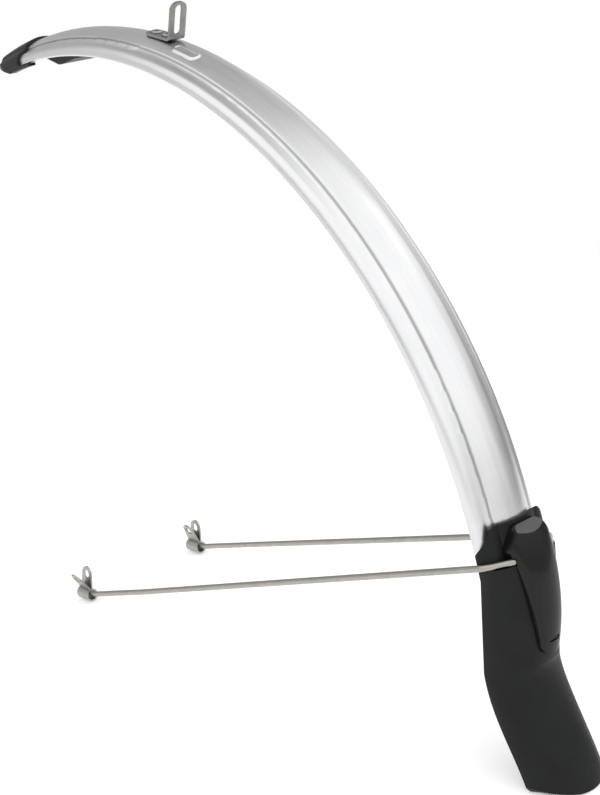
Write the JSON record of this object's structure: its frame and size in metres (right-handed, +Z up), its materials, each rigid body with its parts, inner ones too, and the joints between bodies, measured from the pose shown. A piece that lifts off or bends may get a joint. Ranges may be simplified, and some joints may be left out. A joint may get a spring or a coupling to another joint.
{
  "type": "bicycle mudguard",
  "caption": "Curved front bicycle mudguard with slotted fork bracket, wire stay with folded end clips, nose cap and long rear spoiler flap.",
  "frame": {"origin": "middle of the slot in the fork bracket's plate", "axes": "+X towards the rear of the bicycle, +Y to its right, +Z up, with the blade over the top of the wheel"},
  "size_m": [0.566, 0.1187, 0.4533],
  "materials": {
    "blade_aluminium": "satin silver",
    "black_plastic": "matte black",
    "spoiler_plastic": "matte black",
    "cover_plastic": "semi-gloss black",
    "bracket_steel": "dull zinc plated",
    "rivet_metal": "satin",
    "stay_steel": "polished stainless",
    "clip_steel": "satin stainless",
    "fastener_steel": "zinc plated"
  },
  "bodies": {
    "root": {"blade": "blade_aluminium", "nose_cap": "black_plastic", "fork_bracket": "bracket_steel", "bracket_rivet_front": "rivet_metal", "bracket_rivet_rear": "rivet_metal", "rivet_washer_front": "fastener_steel", "rivet_washer_rear": "fastener_steel", "spoiler": "spoiler_plastic", "stay": "stay_steel", "stay_saddle": "fastener_steel", "saddle_screw_left": "fastener_steel", "saddle_screw_right": "fastener_steel", "saddle_washer_left": "fastener_steel", "saddle_washer_right": "fastener_steel", "saddle_nut_left": "fastener_steel", "saddle_nut_right": "fastener_steel", "stay_cover": "cover_plastic", "stay_clip_left": "clip_steel", "stay_clip_right": "clip_steel"}
  },
  "joints": []
}
